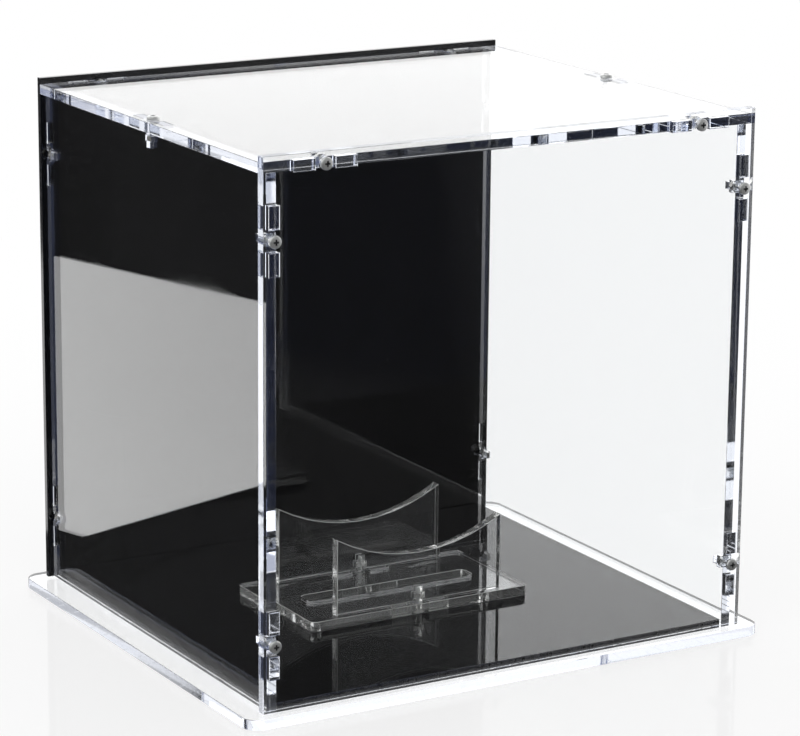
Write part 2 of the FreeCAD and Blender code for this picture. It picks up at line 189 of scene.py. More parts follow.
def add_dust(recipe, place, spacing, size, share):
    """Specks in some cells of a grid of points: 1 on a speck, 0 elsewhere."""
    cells = add_step(recipe, "ShaderNodeTexVoronoi", {"Vector": place, "Scale": 1 / spacing})
    near = add_step(recipe, "ShaderNodeMath", {0: cells.outputs["Distance"], 1: size / spacing},
                    operation="LESS_THAN")
    drawn = add_step(recipe, "ShaderNodeSeparateColor", {"Color": cells.outputs["Color"]})
    chosen = add_step(recipe, "ShaderNodeMath", {0: drawn.outputs["Red"], 1: share}, operation="LESS_THAN")
    both = add_step(recipe, "ShaderNodeMath", {0: near.outputs[0], 1: chosen.outputs[0]}, operation="MULTIPLY")
    return both.outputs[0]


def clear_face_finish():
    """The polished faces of clear acrylic: faint wiped smears and a few specks of dust."""
    finish, recipe, shader = new_finish("clear_acrylic_face", Transmission_Weight=1.0, IOR=ACRYLIC_BEND)
    place = recipe.nodes.new("ShaderNodeTexCoord").outputs["Object"]
    smears = add_step(recipe, "ShaderNodeTexNoise", {"Vector": place, "Scale": 14, "Detail": 5, "Distortion": 1.2})
    wiped = add_ramp(recipe, smears.outputs["Fac"], [(0.45, 0.0), (0.75, 0.035)])
    dust = add_dust(recipe, place, 0.009, 0.00013, 0.5)
    rough = add_step(recipe, "ShaderNodeMath", {0: dust, 1: 0.45, 2: wiped}, operation="MULTIPLY_ADD")
    tint = add_step(recipe, "ShaderNodeMix", {"Factor": dust, "A": CLEAR_TINT, "B": (0.75, 0.76, 0.77, 1)},
                    data_type="RGBA")
    waves = add_step(recipe, "ShaderNodeTexNoise", {"Vector": place, "Scale": 22, "Detail": 1})
    bump = add_step(recipe, "ShaderNodeBump", {"Height": waves.outputs["Fac"], "Strength": 0.02,
                                               "Distance": 0.0005})
    recipe.links.new(rough.outputs[0], shader.inputs["Roughness"])
    recipe.links.new(tint.outputs["Result"], shader.inputs["Base Color"])
    recipe.links.new(bump.outputs[0], shader.inputs["Normal"])
    return finish


def cut_edge_finish(name, tint, worn_tint, transmission, rough_range):
    """A laser-cut edge: glassy, with fine upright burn lines, wider ones here and there."""
    finish, recipe, shader = new_finish(name, Transmission_Weight=transmission, IOR=ACRYLIC_BEND)
    place = add_step(recipe, "ShaderNodeUVMap", {}, uv_map="cut_lines").outputs["UV"]
    stretch = add_step(recipe, "ShaderNodeMapping", {"Vector": place, "Scale": (1, 0.04, 1)})
    fine = add_step(recipe, "ShaderNodeTexNoise", {"Vector": stretch.outputs[0], "Scale": 2600, "Detail": 2})
    wide = add_step(recipe, "ShaderNodeTexNoise", {"Vector": stretch.outputs[0], "Scale": 420, "Detail": 3})
    lines = add_step(recipe, "ShaderNodeMath", {0: fine.outputs["Fac"], 1: 0.35, 2: wide.outputs["Fac"]},
                     operation="MULTIPLY_ADD")
    bump = add_step(recipe, "ShaderNodeBump", {"Height": lines.outputs[0], "Strength": 0.1,
                                               "Distance": 0.00003})
    tone = add_ramp(recipe, wide.outputs["Fac"], [(0.35, worn_tint), (0.6, tint)])
    rough = add_ramp(recipe, fine.outputs["Fac"], [(0.3, rough_range[0]), (0.7, rough_range[1])])
    recipe.links.new(tone, shader.inputs["Base Color"])
    recipe.links.new(rough, shader.inputs["Roughness"])
    recipe.links.new(bump.outputs[0], shader.inputs["Normal"])
    return finish


clear_face = clear_face_finish()
clear_cut = cut_edge_finish("clear_acrylic_cut", CUT_TINT, (0.86, 0.89, 0.97, 1), 1.0, (0.0, 0.02))
clear_sheet = (clear_face, clear_cut)

base_low, base_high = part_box("base_plate")
laser_cut("base_plate", "base", 2, rounded_rectangle(base_low, base_high, BASE_CORNER_RADIUS), [],
          clear_sheet)


# Base panel
# A black cast acrylic sheet, 3 mm thick and polished like a mirror, that lies loose on the base
# plate and fills the inside of the hood with half a millimetre to spare.
BLACK_TINT = (0.004, 0.004, 0.005, 1)
BLACK_CUT_TINT = (0.012, 0.012, 0.014, 1)
DUST_TINT = (0.22, 0.22, 0.23, 1)


def black_face_finish():
    """The mirror faces of black acrylic: a thin haze where it was wiped, and specks of dust."""
    finish, recipe, shader = new_finish("black_acrylic_face", IOR=ACRYLIC_BEND)
    place = recipe.nodes.new("ShaderNodeTexCoord").outputs["Object"]
    smears = add_step(recipe, "ShaderNodeTexNoise", {"Vector": place, "Scale": 11, "Detail": 6, "Distortion": 1.5})
    wiped = add_ramp(recipe, smears.outputs["Fac"], [(0.4, 0.012), (0.75, 0.07)])
    dust = add_dust(recipe, place, 0.006, 0.00014, 0.6)
    rough = add_step(recipe, "ShaderNodeMath", {0: dust, 1: 0.5, 2: wiped}, operation="MULTIPLY_ADD")
    tint = add_step(recipe, "ShaderNodeMix", {"Factor": dust, "A": BLACK_TINT, "B": DUST_TINT}, data_type="RGBA")
    waves = add_step(recipe, "ShaderNodeTexNoise", {"Vector": place, "Scale": 18, "Detail": 1})
    bump = add_step(recipe, "ShaderNodeBump", {"Height": waves.outputs["Fac"], "Strength": 0.02,
                                               "Distance": 0.0005})
    recipe.links.new(rough.outputs[0], shader.inputs["Roughness"])
    recipe.links.new(tint.outputs["Result"], shader.inputs["Base Color"])
    recipe.links.new(bump.outputs[0], shader.inputs["Normal"])
    return finish


black_face = black_face_finish()
black_cut = cut_edge_finish("black_acrylic_cut", BLACK_CUT_TINT, (0.03, 0.03, 0.034, 1), 0.0, (0.06, 0.2))
black_sheet = (black_face, black_cut)


def rectangle(low, high):
    """Outline of a plain rectangle, anticlockwise."""
    return [Vector(point) for point in ((low[0], low[1]), (high[0], low[1]), (high[0], high[1]), (low[0], high[1]))]


laser_cut("base_panel", "base", 2, rectangle(*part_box("base_panel")), [], black_sheet)


# Side panels
# Two clear acrylic sheets, 5 mm thick. Each has pairs of tabs on its front, back and top edges,
# which go through the panels there. Between the two tabs of a pair a T-slot holds a captive nut.
TAB_LENGTH = 0.0105
TAB_OFFSET = 0.0105           # middle of a tab from the screw
TAB_GAP = 0.0001
SCREW_HOLE_RADIUS = 0.0016
NUT_HALF_WIDTH = 0.00275
NUT_HEIGHT = 0.0024
NUT_GAP = 0.0001
NUT_SETBACK = 0.0023          # the nut behind the edge of its sheet
SLOT_DEPTH = 0.008
LOW_JOINT = 0.0315            # above the hood's underside
HIGH_JOINT_DROP = 0.030       # below the top edge of the side panels


def joint_profile(reach):
    """Two tabs and the T-slot between them: pairs of place along the edge and distance out of it."""
    half_tab = TAB_LENGTH / 2
    half_nut = NUT_HALF_WIDTH + NUT_GAP
    far = NUT_SETBACK + NUT_HEIGHT + 2 * NUT_GAP
    slot = [(SCREW_HOLE_RADIUS, 0), (SCREW_HOLE_RADIUS, -NUT_SETBACK), (half_nut, -NUT_SETBACK),
            (half_nut, -far), (SCREW_HOLE_RADIUS, -far), (SCREW_HOLE_RADIUS, -SLOT_DEPTH)]
    near_tab = [(-TAB_OFFSET - half_tab, 0), (-TAB_OFFSET - half_tab, reach),
                (-TAB_OFFSET + half_tab, reach), (-TAB_OFFSET + half_tab, 0)]
    far_tab = [(-along, out) for along, out in near_tab[::-1]]
    return near_tab + [(-along, out) for along, out in slot] + slot[::-1] + far_tab


def jointed_edge(start, end, joints, reach):
    """An edge from its start up to its end, anticlockwise, with a joint at each distance given."""
    along = (end - start).normalized()
    out = Vector((along.y, -along.x))
    return [start] + [start + along * (joint + step) + out * depth
                      for joint in joints for step, depth in joint_profile(reach)]


front_low, front_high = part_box("front_panel")
back_low, back_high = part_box("back_panel")
hood_floor = front_low.z
front_thickness = front_high.y - front_low.y
back_thickness = back_high.y - back_low.y
hood_depth = back_low.y - front_high.y
inside_middle = (back_low.y + front_high.y) / 2

top_low, top_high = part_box("top_panel")
side_rise = top_low.z - hood_floor
side_joints = [LOW_JOINT, side_rise - HIGH_JOINT_DROP]
side_corners = rectangle((front_high.y, hood_floor), (back_low.y, top_low.z))
side_outline = [side_corners[0]]
side_outline += jointed_edge(side_corners[1], side_corners[2], side_joints, back_thickness)
side_outline += jointed_edge(side_corners[2], side_corners[3], [hood_depth / 2], top_high.z - top_low.z)
side_outline += jointed_edge(side_corners[3], side_corners[0], [side_rise - joint for joint in side_joints[::-1]],
                             front_thickness)
for node in ("left_panel", "right_panel"):
    laser_cut(node, "hood", 0, side_outline, [], clear_sheet)


# Front and back panels
# The front is clear acrylic, 5 mm thick, and the back is black acrylic, 3 mm thick and polished.
# Both cover the edges of the other panels, and have a pair of holes for tabs with a screw hole
# between them at each of their six joints.
TOP_JOINT_INSET = 0.031       # from the ends of the front and back panels


def joint_holes(place, along, thickness):
    """Openings for the two tabs and the screw of a joint, where a sheet's edge meets this one."""
    across = Vector((along.y, -along.x))
    corner = along * (TAB_LENGTH / 2 + TAB_GAP) + across * (thickness / 2 + TAB_GAP)
    reach = Vector((abs(corner.x), abs(corner.y)))
    openings = []
    for side in (-1, 1):
        middle = place + along * (side * TAB_OFFSET)
        openings.append(rectangle(middle - reach, middle + reach))
    openings.append(arc(place, SCREW_HOLE_RADIUS, 0, 360)[:-1])
    return openings


ACROSS = Vector((1, 0))
ALONG = Vector((0, 1))
left_low, left_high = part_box("left_panel")
side_middle = abs(left_low.x + left_high.x) / 2
side_thickness = left_high.x - left_low.x
top_middle = (top_low.z + top_high.z) / 2
top_thickness = top_high.z - top_low.z
top_joint = front_high.x - TOP_JOINT_INSET
joint_heights = [hood_floor + joint for joint in side_joints]

upright_openings = []
for side in (-1, 1):
    for height in joint_heights:
        upright_openings += joint_holes(Vector((side * side_middle, height)), ALONG, side_thickness)
    upright_openings += joint_holes(Vector((side * top_joint, top_middle)), ACROSS, top_thickness)
upright_outline = rectangle((front_low.x, front_low.z), (front_high.x, front_high.z))
laser_cut("front_panel", "hood", 1, upright_outline, upright_openings, clear_sheet)
laser_cut("back_panel", "hood", 1, upright_outline, upright_openings, black_sheet)


# Top panel
# A clear acrylic sheet, 5 mm thick, with tabs and T-slots on its front and back edges and holes
# for the tabs of the side panels near its ends.
top_corners = rectangle((top_low.x, front_high.y), (top_high.x, back_low.y))
top_joints = [TOP_JOINT_INSET, top_high.x - top_low.x - TOP_JOINT_INSET]
top_outline = jointed_edge(top_corners[0], top_corners[1], top_joints, front_thickness)
top_outline += [top_corners[1]]
top_outline += jointed_edge(top_corners[2], top_corners[3], top_joints, back_thickness)
top_outline += [top_corners[3]]
top_openings = []
for side in (-1, 1):
    top_openings += joint_holes(Vector((side * side_middle, inside_middle)), ALONG, side_thickness)
laser_cut("top_panel", "hood", 2, top_outline, top_openings, clear_sheet)


# Stand plate
# A clear acrylic plate, 5 mm thick, with rounded corners, a long slot along its middle and holes
# for the tabs and the screw of each cradle. The screw holes are countersunk from below.
STAND_CORNER_RADIUS = 0.0035
STAND_SLOT = Vector((0.093, 0.0107))
STAND_SLOT_RADIUS = 0.0035
COUNTERSINK_DEPTH = 0.0014
STAND_MELTED_EDGE = 0.0002    # the small pieces of the stand got hotter

stand_cut = cut_edge_finish("stand_acrylic_cut", (1.0, 1.0, 0.98, 1), (0.92, 0.93, 0.92, 1), 0.93, (0.01, 0.06))
stand_rim = cut_edge_finish("stand_melted_rim", (1.0, 1.0, 0.98, 1), (0.92, 0.92, 0.9, 1), 0.1, (0.1, 0.25))
stand_sheet = (clear_face, stand_cut, stand_rim)
stand_low, stand_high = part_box("stand_plate")
stand_outline = rounded_rectangle(stand_low, stand_high, STAND_CORNER_RADIUS)
stand_middle = Vector((0, inside_middle))
stand_openings = [rounded_rectangle(stand_middle - STAND_SLOT / 2, stand_middle + STAND_SLOT / 2, STAND_SLOT_RADIUS)]
tab_openings = []
screw_openings = []
cradle_places = []
for node in ("front_cradle", "rear_cradle"):
    cradle_low, cradle_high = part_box(node)
    cradle_middle = (cradle_low.y + cradle_high.y) / 2
    cradle_places.append(cradle_middle)
    first_tab, second_tab, screw = joint_holes(Vector((0, cradle_middle)), ACROSS, cradle_high.y - cradle_low.y)
    tab_openings += [first_tab, second_tab]
    screw_openings.append(screw)
laser_cut("stand_plate", "stand", 2, stand_outline, stand_openings + tab_openings + screw_openings,
          stand_sheet, countersinks=[COUNTERSINK_DEPTH, COUNTERSINK_DEPTH],
          melted=STAND_MELTED_EDGE)


# Cradles
# Two clear acrylic uprights, 5 mm thick, whose hollow top edges carry the thing on show. Each stands
# on the plate with two tabs through it, and a screw from below goes into a nut in its T-slot.
SADDLE_HEIGHT = 0.0258        # lowest point of the hollow above the stand plate
SADDLE_RADIUS = 0.090

for node in ("front_cradle", "rear_cradle"):
    cradle_low, cradle_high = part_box(node)
    floor = stand_high.z
    hollow_middle = Vector((0, floor + SADDLE_HEIGHT + SADDLE_RADIUS))
    swing = math.degrees(math.asin(cradle_high.x / SADDLE_RADIUS))
    foot = [Vector((cradle_low.x, floor)), Vector((cradle_high.x, floor))]
    outline = jointed_edge(foot[0], foot[1], [cradle_high.x], stand_high.z - stand_low.z)
    outline += [foot[1]]
    outline += arc(hollow_middle, SADDLE_RADIUS, swing - 90, -swing - 90)
    laser_cut(node, "stand", 1, outline, [], stand_sheet, melted=STAND_MELTED_EDGE)


# Screws
# M3 machine screws of bright steel with a cross recess. Pan heads hold the hood together, 12 mm long
# through the clear sheets and 10 mm through the black one. Flush heads hold the cradles from below.
SCREW_RADIUS = 0.0015
THREAD_PITCH = 0.0005
THREAD_DEPTH = 0.6134 * THREAD_PITCH
THREAD_SIDES = 32
SCREW_REACH = 0.007
PAN_RADIUS = 0.003
PAN_HEIGHT = 0.002
PAN_TOP_RADIUS = 0.0022       # of the nearly flat top
PAN_DOME = 0.0002             # rise of the top's middle
PAN_SHOULDER = 0.0009         # height of the round shoulder
SUNK_RADIUS = 0.0029
SUNK_RIM = 0.00012
SCREW_POINT_RADIUS = 0.00105
RECESS_MOUTH = (0.0016, 0.00048)   # half length and half width of the cross at the top
RECESS_FLOOR = (0.0006, 0.00028)
RECESS_DEPTH = 0.0014
RECESS_RIM = 0.00015          # what lies deeper than this below the top is the recess
STEEL_TINT = (0.88, 0.89, 0.88, 1)
# Painted shade: the faces down in the cross recess get this dark grey steel, which stands for the shade inside the
# recess.
PAINTED_RECESS_SHADE = (0.2, 0.2, 0.21, 1)


def add_ring(mesh, radius, height):
    """A level ring of points."""
    turns = [2 * math.pi * side / THREAD_SIDES for side in range(THREAD_SIDES)]
    return [mesh.verts.new((radius * math.cos(turn), radius * math.sin(turn), height)) for turn in turns]


def bridge(mesh, one, two):
    """Faces between two rings."""
    for side in range(len(one)):
        after = (side + 1) % len(one)
        mesh.faces.new((one[side], one[after], two[after], two[side]))


def cap(mesh, ring, height):
    """Faces from a ring to its middle."""
    middle = mesh.verts.new((0, 0, height))
    for one, two in zip(ring, ring[1:] + ring[:1]):
        mesh.faces.new((one, two, middle))


def add_thread(mesh, start, end, end_radii, clearance=0.0):
    """A helical M3 thread between two heights, trimmed at 45 degrees to a round ring at each end.

    With a clearance it is the thread inside a nut, in step with the one on its screw.
    """
    root = SCREW_RADIUS - THREAD_DEPTH + clearance
    crest = SCREW_RADIUS + clearance
    rows = [(0.0, root), (0.25, root), (0.5625, crest), (0.6875, crest)]
    turns_before = math.floor(start / THREAD_PITCH) - 1
    turns_after = math.ceil(end / THREAD_PITCH)
    slope = -1 if clearance else 1
    trim = max if clearance else min
    grid = []
    for turn in range(turns_before, turns_after + 2):
        for share, radius in rows:
            row = []
            for side in range(THREAD_SIDES):
                height = (turn + share + side / THREAD_SIDES) * THREAD_PITCH
                reach = trim(radius, end_radii[0] + slope * (height - start), end_radii[1] + slope * (end - height))
                if height <= start:
                    height, reach = start, end_radii[0]
                elif height >= end:
                    height, reach = end, end_radii[1]
                angle = 2 * math.pi * side / THREAD_SIDES
                row.append(mesh.verts.new((reach * math.cos(angle), reach * math.sin(angle), height)))
            grid.append(row)
    for number in range(len(grid) - len(rows) - 1):
        for side in range(THREAD_SIDES):
            if side + 1 < THREAD_SIDES:
                after = (grid[number][side + 1], grid[number + 1][side + 1])
            else:
                after = (grid[number + len(rows)][0], grid[number + len(rows) + 1][0])
            mesh.faces.new((grid[number][side], after[0], after[1], grid[number + 1][side]))
    return grid[0], grid[-1]


def cross_cutter(top):
    """A tapered cross that the recess of a screw is cut with."""
    mesh = bmesh.new()
    levels = []
    for (length, width), height in ((RECESS_MOUTH, top - 0.0003), (RECESS_FLOOR, top + RECESS_DEPTH)):
        corners = [(width, width), (width, length), (-width, length), (-width, width), (-length, width),
                   (-length, -width), (-width, -width), (-width, -length), (width, -length), (width, -width),
                   (length, -width), (length, width)]
        levels.append([mesh.verts.new((across, along, height)) for across, along in corners])
    bridge(mesh, levels[0], levels[1])
    cap(mesh, levels[0], top - 0.0003)
    cap(mesh, levels[1], top + RECESS_DEPTH + RECESS_FLOOR[1])
    bmesh.ops.recalc_face_normals(mesh, faces=mesh.faces)
    return mesh


def as_object(name, mesh):
    """A loose working object from a mesh."""
    bmesh.ops.remove_doubles(mesh, verts=mesh.verts, dist=1e-7)
    bmesh.ops.recalc_face_normals(mesh, faces=mesh.faces)
    shape = bpy.data.meshes.new(name)
    mesh.to_mesh(shape)
    mesh.free()
    piece = bpy.data.objects.new(name, shape)
    bpy.context.scene.collection.objects.link(piece)
    return piece


def make_screw(name, head, shank):
    """The mesh of a screw along +Z, from the half section of its head and the length of its shank."""
    mesh = bmesh.new()
    rings = [add_ring(mesh, radius, height) for radius, height in head]
    top = head[0][1]
    cap(mesh, rings[0], top)
    for one, two in zip(rings, rings[1:]):
        bridge(mesh, one, two)
    tip = add_thread(mesh, head[-1][1], shank, (head[-1][0], SCREW_POINT_RADIUS))[1]
    cap(mesh, tip, shank)
    screw = as_object(name, mesh)
    cutter = as_object(f"{name}_cutter", cross_cutter(top))
    recess = screw.modifiers.new("recess", "BOOLEAN")
    recess.operation = "DIFFERENCE"
    recess.solver = "EXACT"
    recess.object = cutter
    bpy.context.view_layer.update()
    evaluated = screw.evaluated_get(bpy.context.evaluated_depsgraph_get())
    shape = bpy.data.meshes.new_from_object(evaluated)
    for piece in (screw, cutter):
        bpy.data.objects.remove(piece)
    recess_end = top + RECESS_DEPTH + RECESS_FLOOR[1]
    # The faces down in the cross recess take the second finish, a dark steel that is painted shade.
    for face in shape.polygons:
        middle = face.center
        if middle.xy.length < RECESS_MOUTH[0] and top + RECESS_RIM < middle.z < recess_end:
            face.material_index = 1
    return shape


def pan_head():
    """Half section of a pan head, from its top to the ring that its shank starts from."""
    section = []
    for share in (0.25, 0.5, 0.75, 1.0):
        section.append((PAN_TOP_RADIUS * share, PAN_DOME * share ** 2 - PAN_HEIGHT))
    for step in range(1, 7):
        turn = math.pi / 2 * step / 6
        section.append((PAN_TOP_RADIUS + (PAN_RADIUS - PAN_TOP_RADIUS) * math.sin(turn),
                        PAN_DOME - PAN_HEIGHT + PAN_SHOULDER * (1 - math.cos(turn))))
    section.append((PAN_RADIUS, -0.0001))
    return section + [(PAN_RADIUS - 0.0001, 0), (SCREW_RADIUS - THREAD_DEPTH, 0)]


def sunk_head():
    """Half section of a flush head, from its flat top down its cone."""
    neck = SCREW_RADIUS - THREAD_DEPTH
    return [(SUNK_RADIUS - SUNK_RIM, AIR_FILM), (SUNK_RADIUS, SUNK_RIM), (neck, SUNK_RADIUS - neck)]


def steel_finish(name, tint, dark_tint, rough_range):
    """Bright steel: patchy gloss, fine turning marks and a few darker handling marks."""
    finish, recipe, shader = new_finish(name, Metallic=0.8)
    place = recipe.nodes.new("ShaderNodeTexCoord").outputs["Object"]
    patches = add_step(recipe, "ShaderNodeTexNoise", {"Vector": place, "Scale": 700, "Detail": 4})
    grain = add_step(recipe, "ShaderNodeTexNoise", {"Vector": place, "Scale": 6000, "Detail": 2})
    tone = add_ramp(recipe, patches.outputs["Fac"], [(0.3, dark_tint), (0.65, tint)])
    rough = add_ramp(recipe, patches.outputs["Fac"], [(0.3, rough_range[1]), (0.7, rough_range[0])])
    bump = add_step(recipe, "ShaderNodeBump", {"Height": grain.outputs["Fac"], "Strength": 0.2,
                                               "Distance": 0.00001})
    recipe.links.new(tone, shader.inputs["Base Color"])
    recipe.links.new(rough, shader.inputs["Roughness"])
    recipe.links.new(bump.outputs[0], shader.inputs["Normal"])
    return finish


screw_steel = steel_finish("bright_screw_steel", STEEL_TINT, (0.7, 0.71, 0.71, 1), (0.28, 0.42))
# The second steel is painted shade for the cross recesses, a dark grey with darker patches.
recess_shade_steel = steel_finish("recess_painted_shade_steel", PAINTED_RECESS_SHADE, (0.08, 0.08, 0.085, 1), (0.35, 0.5))
long_screw = make_screw("long_screw", pan_head(), front_thickness + SCREW_REACH)
short_screw = make_screw("short_screw", pan_head(), back_thickness + SCREW_REACH)
flush_screw = make_screw("flush_screw", sunk_head(), stand_high.z - stand_low.z + SCREW_REACH)

RIGHTWARDS = Vector((1, 0, 0))
BACKWARDS = Vector((0, 1, 0))
UPWARDS = Vector((0, 0, 1))
# Name of the joint, screw, sheet under its head, direction it goes in, way its nut's flats face, seats
JOINTS = []
for word, side in (("left", -1), ("right", 1)):
    front_seats = [Vector((side * side_middle, front_low.y, height)) for height in joint_heights]
    back_seats = [Vector((side * side_middle, back_high.y, height)) for height in joint_heights]
    JOINTS.append((f"front_{word}", long_screw, front_thickness, BACKWARDS, UPWARDS, front_seats))
    JOINTS.append((f"back_{word}", short_screw, back_thickness, -BACKWARDS, UPWARDS, back_seats))
front_top_seats = [Vector((side * top_joint, front_low.y, top_middle)) for side in (-1, 1)]
back_top_seats = [Vector((side * top_joint, back_high.y, top_middle)) for side in (-1, 1)]
side_top_seats = [Vector((side * side_middle, inside_middle, top_high.z)) for side in (-1, 1)]
cradle_seats = [Vector((0, middle, stand_low.z)) for middle in cradle_places]
JOINTS.append(("front_top", long_screw, front_thickness, BACKWARDS, RIGHTWARDS, front_top_seats))
JOINTS.append(("back_top", short_screw, back_thickness, -BACKWARDS, RIGHTWARDS, back_top_seats))
JOINTS.append(("side_top", long_screw, top_thickness, -UPWARDS, BACKWARDS, side_top_seats))
JOINTS.append(("cradle", flush_screw, stand_high.z - stand_low.z, UPWARDS, RIGHTWARDS, cradle_seats))


def put_fasteners(joint, kind, shape, direction, flats, seats, finishes):
    """Copies of a fastener at its seats, each a piece of its own, in the place of their CAD node."""
    sideways = direction.cross(flats)
    facing = Matrix((flats, sideways, direction)).transposed().to_4x4()
    for number, seat in enumerate(seats, start=1):
        mesh = bmesh.new()
        mesh.from_mesh(shape)
        bmesh.ops.transform(mesh, matrix=Matrix.Translation(seat) @ facing, verts=mesh.verts)
        body = "stand" if joint == "cradle" else "hood"
        add_piece(f"{joint}_{kind}_{number}", mesh, finishes, body, f"{joint}_{kind}s")


for joint, screw, thickness, direction, flats, seats in JOINTS:
    put_fasteners(joint, "screw", screw, direction, flats, seats, [screw_steel, recess_shade_steel])


# Nuts
# M3 hexagon nuts of bright steel, with both faces chamfered at their corners. Each sits in a T-slot,
# where the slot's sides keep it from turning, and draws the screw tight.
NUT_FACE_RADIUS = 0.0026
NUT_MOUTH_RADIUS = 0.0017
NUT_SIDES = 48
NUT_TINT = (0.85, 0.85, 0.83, 1)


def hexagon_ring(mesh, height, chamfer):
    """A ring round the nut: its six sides, or lower down the cone that trims their corners."""
    ring = []
    for side in range(NUT_SIDES):
        turn = 2 * math.pi * side / NUT_SIDES
        off_flat = (turn + math.pi / 6) % (math.pi / 3) - math.pi / 6
        radius = NUT_HALF_WIDTH / math.cos(off_flat)
        rise = (radius - NUT_FACE_RADIUS) * math.tan(math.radians(30))
        if chamfer == "face":
            radius, rise = NUT_FACE_RADIUS, 0
        inward = rise if height == 0 else -rise
        ring.append(mesh.verts.new((radius * math.cos(turn), radius * math.sin(turn), height + inward)))
    return ring


def make_nut(start):
    """The mesh of a nut along +Z whose near face is at a distance along its screw."""
    mesh = bmesh.new()
    rings = [hexagon_ring(mesh, 0, "face"), hexagon_ring(mesh, 0, "side"),
             hexagon_ring(mesh, NUT_HEIGHT, "side"), hexagon_ring(mesh, NUT_HEIGHT, "face")]
    for one, two in zip(rings, rings[1:]):
        bridge(mesh, one, two)
    bmesh.ops.translate(mesh, verts=mesh.verts, vec=(0, 0, start))
    mouths = add_thread(mesh, start, start + NUT_HEIGHT, (NUT_MOUTH_RADIUS, NUT_MOUTH_RADIUS), clearance=0.00004)
    bmesh.ops.remove_doubles(mesh, verts=mesh.verts, dist=1e-7)
    for height in (start, start + NUT_HEIGHT):
        rim = [edge for edge in mesh.edges
               if edge.is_boundary and all(abs(end.co.z - height) < 1e-7 for end in edge.verts)]
        bmesh.ops.triangle_fill(mesh, edges=rim, use_beauty=True)
    bmesh.ops.recalc_face_normals(mesh, faces=mesh.faces)
    shape = bpy.data.meshes.new("nut")
    mesh.to_mesh(shape)
    mesh.free()
    return shape


nut_steel = steel_finish("bright_nut_steel", NUT_TINT, (0.62, 0.62, 0.6, 1), (0.18, 0.32))
for joint, screw, thickness, direction, flats, seats in JOINTS:
    put_fasteners(joint, "nut", make_nut(thickness + NUT_SETBACK), direction, flats, seats, [nut_steel])


# Floor
# A pale glossy table top that runs out into a plain white backdrop. In polished faces it shows as
# the dim front of the room.
FLOOR_HALF_WIDTH = 5.0
FLOOR_DROP = 0.0001
FLOOR_TINT = (0.88, 0.88, 0.885, 1)
FLOOR_WHITE_NEAR = 0.75       # share of plain white seen beside the case
WHITE_BEHIND = 1.16           # the backdrop behind clear sheets is lit a little over plain white
FLOOR_DIM = 0.03
DARK_SIDE = (0.17, 0.2, 0.34, 1)   # the table's dark side, bluish when looked at through long sheets
LIT_SIDE = (0.87, 0.5, 0)     # towards the right and the back, where the table is lit


def what_is_looked_at(recipe):
    """For the floor and the room: whether they are seen by the camera, in or through polished
    sheets and steel, as in a mirror, or after several reflections inside a sheet."""
    seen = recipe.nodes.new("ShaderNodeLightPath")
    in_sheets = add_step(recipe, "ShaderNodeMath", {0: seen.outputs["Is Glossy Ray"],
                                                    1: seen.outputs["Is Transmission Ray"]}, operation="MAXIMUM")
    once = add_step(recipe, "ShaderNodeMath", {0: seen.outputs["Glossy Depth"], 1: 1.0, 2: 0.4},
                    operation="COMPARE")
    outside = add_step(recipe, "ShaderNodeMath", {0: seen.outputs["Transmission Depth"], 1: 0.5},
                       operation="LESS_THAN")
    reflected = add_step(recipe, "ShaderNodeMath", {0: seen.outputs["Glossy Depth"], 1: 0.5},
                         operation="GREATER_THAN")
    off_surfaces = add_step(recipe, "ShaderNodeMath", {0: outside.outputs[0], 1: reflected.outputs[0]},
                            operation="MULTIPLY")
    mirrored = add_step(recipe, "ShaderNodeMath", {0: once.outputs[0], 1: off_surfaces.outputs[0]},
                        operation="MAXIMUM")
    inside = add_step(recipe, "ShaderNodeMath", {0: seen.outputs["Glossy Depth"], 1: 1.5},
                      operation="GREATER_THAN")
    return seen.outputs["Is Camera Ray"], in_sheets.outputs[0], mirrored.outputs[0], inside.outputs[0]


mesh = bmesh.new()
corners = rectangle((-FLOOR_HALF_WIDTH, -FLOOR_HALF_WIDTH), (FLOOR_HALF_WIDTH, FLOOR_HALF_WIDTH))
mesh.faces.new([mesh.verts.new((corner.x, corner.y, -FLOOR_DROP)) for corner in corners])
shape = bpy.data.meshes.new("floor")
mesh.to_mesh(shape)
mesh.free()
floor_piece = bpy.data.objects.new("floor", shape)
bpy.context.scene.collection.objects.link(floor_piece)

floor_finish, recipe, shader = new_finish("white_table", Base_Color=FLOOR_TINT, Roughness=0.04, IOR=1.4)
place = recipe.nodes.new("ShaderNodeTexCoord").outputs["Object"]
reach = add_step(recipe, "ShaderNodeVectorMath", {0: place}, operation="LENGTH")
share = add_step(recipe, "ShaderNodeMapRange", {"Value": reach.outputs["Value"], "From Min": 0.25,
                                                "From Max": 0.9, "To Min": FLOOR_WHITE_NEAR, "To Max": 1.0},
                 interpolation_type="SMOOTHSTEP")
by_camera, in_sheets, mirrored, inside = what_is_looked_at(recipe)
white_share = add_step(recipe, "ShaderNodeMath", {0: share.outputs[0], 1: by_camera, 2: in_sheets},
                       operation="MULTIPLY_ADD")
side = add_step(recipe, "ShaderNodeVectorMath", {0: place, 1: LIT_SIDE}, operation="DOT_PRODUCT")
behind = add_step(recipe, "ShaderNodeMapRange", {"Value": in_sheets, "To Min": 1.0, "To Max": WHITE_BEHIND})
lit_share = add_step(recipe, "ShaderNodeMapRange", {"Value": side.outputs["Value"], "From Min": -0.1,
                                                    "From Max": 0.03})
down_sheets = add_step(recipe, "ShaderNodeMix", {"Factor": lit_share.outputs[0], "A": DARK_SIDE,
                                                 "B": (WHITE_BEHIND, WHITE_BEHIND, WHITE_BEHIND, 1)},
                       data_type="RGBA")
backdrop = add_step(recipe, "ShaderNodeMix", {"Factor": inside, "A": behind.outputs[0],
                                              "B": down_sheets.outputs["Result"]}, data_type="RGBA")
